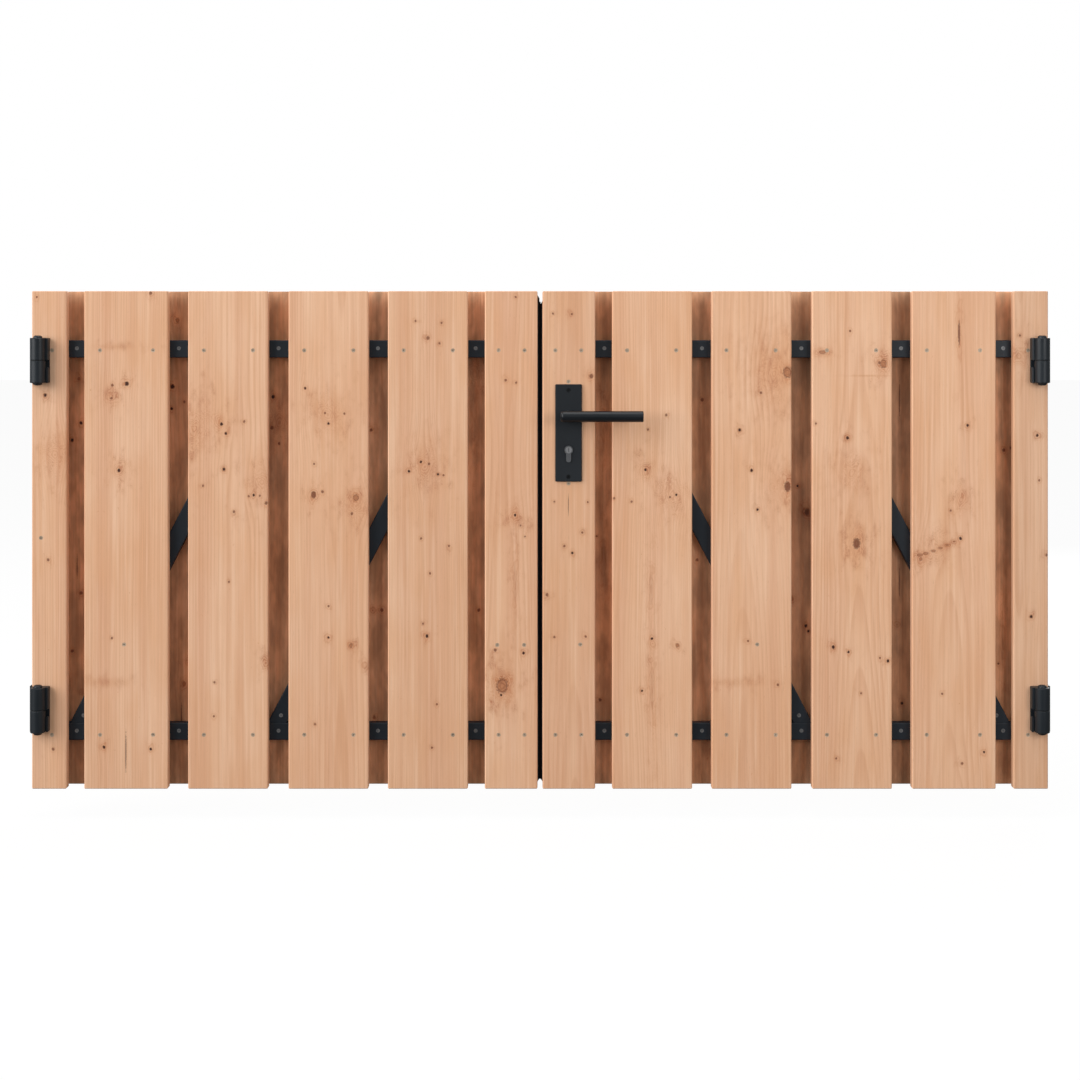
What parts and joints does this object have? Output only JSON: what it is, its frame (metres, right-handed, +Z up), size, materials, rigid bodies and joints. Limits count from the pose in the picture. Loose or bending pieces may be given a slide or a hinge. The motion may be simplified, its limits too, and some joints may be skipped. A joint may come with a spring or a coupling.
{
  "type": "double garden gate",
  "caption": "Double garden gate with boarded wooden leaves on black steel tube frames, lift-off hinges for posts, a lever lock on the active leaf and a drop bolt on the other.",
  "frame": {"origin": "middle of the gap between the closed leaves, mid-thickness of the leaves, level with the lower ends of the boards", "axes": "+X to the right seen from the front (the side with the hinge knuckles), +Y to the back, +Z up"},
  "size_m": [2.049, 0.17, 1],
  "materials": {
    "front_boards": "planed softwood, unfinished, pinkish tan",
    "back_boards": "planed softwood, unfinished, seen in the shade of the front boards",
    "black_frame": "satin black powder coat",
    "black_hinges": "satin black powder coat",
    "black_lever": "satin black coat",
    "black_plate": "satin black powder coat",
    "black_plastic": "matt moulded plastic",
    "nylon": "matt nylon",
    "screws": "grey zinc",
    "frame_screws": "dark zinc",
    "black_screws": "black zinc",
    "zinc": "zinc",
    "steel": "brushed steel",
    "brass": "plain brass",
    "nickel": "satin nickel"
  },
  "bodies": {
    "post_side": {"left_post_hinges": "black_hinges", "right_post_hinges": "black_hinges", "hinge_pins": "black_hinges", "hinge_washers": "nylon"},
    "left_leaf": {"left_front_board_1": "front_boards", "left_front_board_2": "front_boards", "left_front_board_3": "front_boards", "left_front_board_4": "front_boards", "left_front_board_5": "front_boards", "left_front_board_6": "front_boards", "left_back_board_1": "back_boards", "left_back_board_2": "back_boards", "left_back_board_3": "back_boards", "left_back_board_4": "back_boards", "left_back_board_5": "back_boards", "left_rails": "black_frame", "left_hinge_stile": "black_frame", "left_closing_stile": "black_frame", "left_braces": "black_frame", "left_end_plugs": "black_plastic", "left_front_screws": "screws", "left_back_screws": "frame_screws", "left_hinge_bolts": "black_hinges", "left_gate_hinges": "black_hinges", "strike_plate": "steel", "drop_bolt_guides": "black_hinges"},
    "right_leaf": {"right_front_board_1": "front_boards", "right_front_board_2": "front_boards", "right_front_board_3": "front_boards", "right_front_board_4": "front_boards", "right_front_board_5": "front_boards", "right_front_board_6": "front_boards", "right_back_board_1": "back_boards", "right_back_board_2": "back_boards", "right_back_board_3": "back_boards", "right_back_board_4": "back_boards", "right_back_board_5": "back_boards", "right_rails": "black_frame", "right_hinge_stile": "black_frame", "right_closing_stile": "black_frame", "right_braces": "black_frame", "right_end_plugs": "black_plastic", "right_front_screws": "screws", "right_back_screws": "frame_screws", "right_hinge_bolts": "black_hinges", "right_gate_hinges": "black_hinges", "lock_case": "zinc", "lock_forend": "steel", "outer_plate": "black_plate", "inner_plate": "black_plate", "lock_screws": "black_screws", "lock_cylinder": "nickel"},
    "levers": {"outer_lever": "black_lever", "inner_lever": "black_lever", "spindle": "zinc", "follower": "brass"},
    "latch": {"latch_bolt": "steel"},
    "cylinder_core": {"cylinder_core": "nickel"},
    "dead_bolt": {"dead_bolt": "steel"},
    "drop_bolt": {"drop_bolt": "black_hinges"}
  },
  "joints": [
    {"name": "left_leaf_swing", "type": "hinge", "parent": "post_side", "child": "left_leaf", "pos_m": [-1.0044, -0.0465, 0.5], "axis": [0, 0, -1], "range_deg": [0, 170]},
    {"name": "right_leaf_swing", "type": "hinge", "parent": "post_side", "child": "right_leaf", "pos_m": [1.0044, -0.0465, 0.5], "axis": [0, 0, 1], "range_deg": [0, 170]},
    {"name": "lever_turn", "type": "hinge", "parent": "right_leaf", "child": "levers", "pos_m": [0.0574, 0, 0.75], "axis": [0, 1, 0], "range_deg": [0, 40], "stiffness_Nm_per_rad": 2, "springref_deg": -34.38},
    {"name": "latch_slide", "type": "slide", "parent": "right_leaf", "child": "latch", "axis": [1, 0, 0], "range_m": [0, 0.012]},
    {"name": "cylinder_turn", "type": "hinge", "parent": "right_leaf", "child": "cylinder_core", "pos_m": [0.0574, 0, 0.681], "axis": [0, -1, 0], "range_deg": [0, 120]},
    {"name": "dead_bolt_slide", "type": "slide", "parent": "right_leaf", "child": "dead_bolt", "axis": [-1, 0, 0], "range_m": [0, 0.02]},
    {"name": "drop_bolt_slide", "type": "slide", "parent": "left_leaf", "child": "drop_bolt", "axis": [0, 0, -1], "range_m": [0, 0.08]}
  ],
  "couplings": [
    {"joint": "latch_slide", "follows": "lever_turn", "m_per_rad": 0.01718},
    {"joint": "cylinder_turn", "follows": "dead_bolt_slide", "rad_per_m": 104.71}
  ]
}
